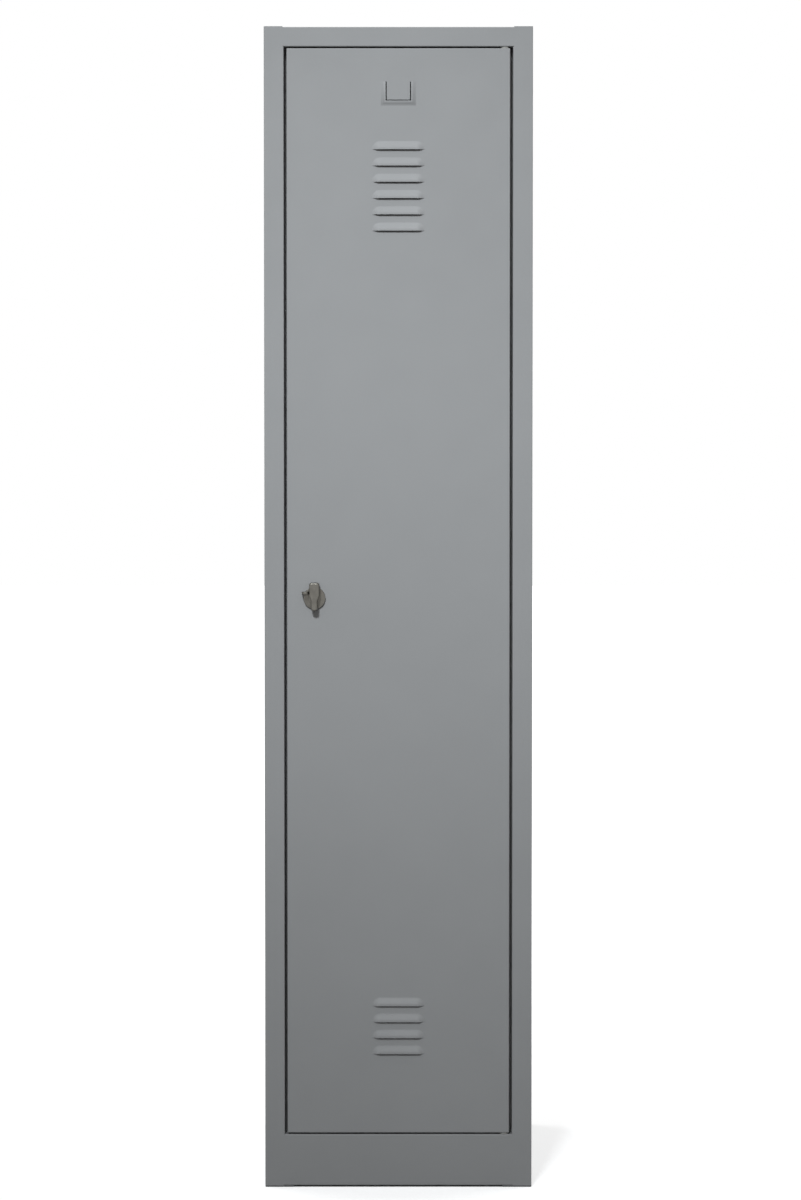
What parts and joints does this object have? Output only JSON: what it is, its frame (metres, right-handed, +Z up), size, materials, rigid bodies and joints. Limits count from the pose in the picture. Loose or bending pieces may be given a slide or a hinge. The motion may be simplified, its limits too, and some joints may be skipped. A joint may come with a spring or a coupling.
{
  "type": "clothing locker",
  "caption": "Tall narrow sheet-steel clothing locker with one louvred door on pivot pins, card holder, padlock turn latch, hat shelf and a rail with sliding coat hooks.",
  "frame": {"origin": "on the floor under the middle of the case's footprint; the latch stands out in front of it", "axes": "+X to the right seen from the front, +Y from front to back, +Z up"},
  "size_m": [0.415, 0.517, 1.8],
  "materials": {
    "case_paint": "fine-textured grey powder coat",
    "door_paint": "fine-textured grey powder coat",
    "zinc": "bright zinc plating",
    "rail_chrome": "bright chrome plating",
    "lock_nickel": "dark satin nickel on die casting",
    "nylon": "grey nylon",
    "grey_plastic": "moulded dark grey plastic",
    "foot_plastic": "moulded grey plastic",
    "rubber": "matt black rubber"
  },
  "bodies": {
    "cabinet": {"left_side_panel": "case_paint", "right_side_panel": "case_paint", "top_panel": "case_paint", "floor_panel": "case_paint", "plinth_panel": "case_paint", "back_panel": "case_paint", "hat_shelf": "case_paint", "shelf_brackets": "zinc", "clothes_rail": "rail_chrome", "rail_socket_left": "nylon", "rail_socket_right": "nylon", "rail_screws": "zinc", "lower_pivot_plate": "zinc", "upper_pivot_plate": "zinc", "lower_pivot_pin": "zinc", "upper_pivot_pin": "zinc", "foot_front_left": "foot_plastic", "foot_front_right": "foot_plastic", "foot_rear_left": "foot_plastic", "foot_rear_right": "foot_plastic", "door_buffers": "rubber"},
    "door": {"door_skin": "door_paint", "door_stiffener": "door_paint", "upper_hinge_bracket": "zinc", "lower_hinge_bracket": "zinc", "upper_hinge_bush": "nylon", "lower_hinge_bush": "nylon", "lock_housing": "lock_nickel", "lock_washer": "zinc", "lock_nut": "zinc"},
    "latch": {"lock_handle": "lock_nickel", "lock_spacer": "nylon", "lock_cam": "zinc", "cam_screw": "zinc"},
    "hook_left": {"hook_left": "grey_plastic"},
    "hook_middle": {"hook_middle": "grey_plastic"},
    "hook_right": {"hook_right": "grey_plastic"}
  },
  "joints": [
    {"name": "door_hinge", "type": "hinge", "parent": "cabinet", "child": "door", "pos_m": [0.1645, -0.2425, 0.92445], "axis": [0, 0, 1], "range_deg": [0, 110]},
    {"name": "latch_turn", "type": "hinge", "parent": "door", "child": "latch", "pos_m": [-0.13, -0.25, 0.919], "axis": [0, 1, 0], "range_deg": [0, 90]},
    {"name": "hook_left_slide", "type": "slide", "parent": "cabinet", "child": "hook_left", "axis": [1, 0, 0], "range_m": [-0.08, 0.04]},
    {"name": "hook_middle_slide", "type": "slide", "parent": "cabinet", "child": "hook_middle", "axis": [1, 0, 0], "range_m": [-0.04, 0.04]},
    {"name": "hook_right_slide", "type": "slide", "parent": "cabinet", "child": "hook_right", "axis": [1, 0, 0], "range_m": [-0.04, 0.08]}
  ]
}
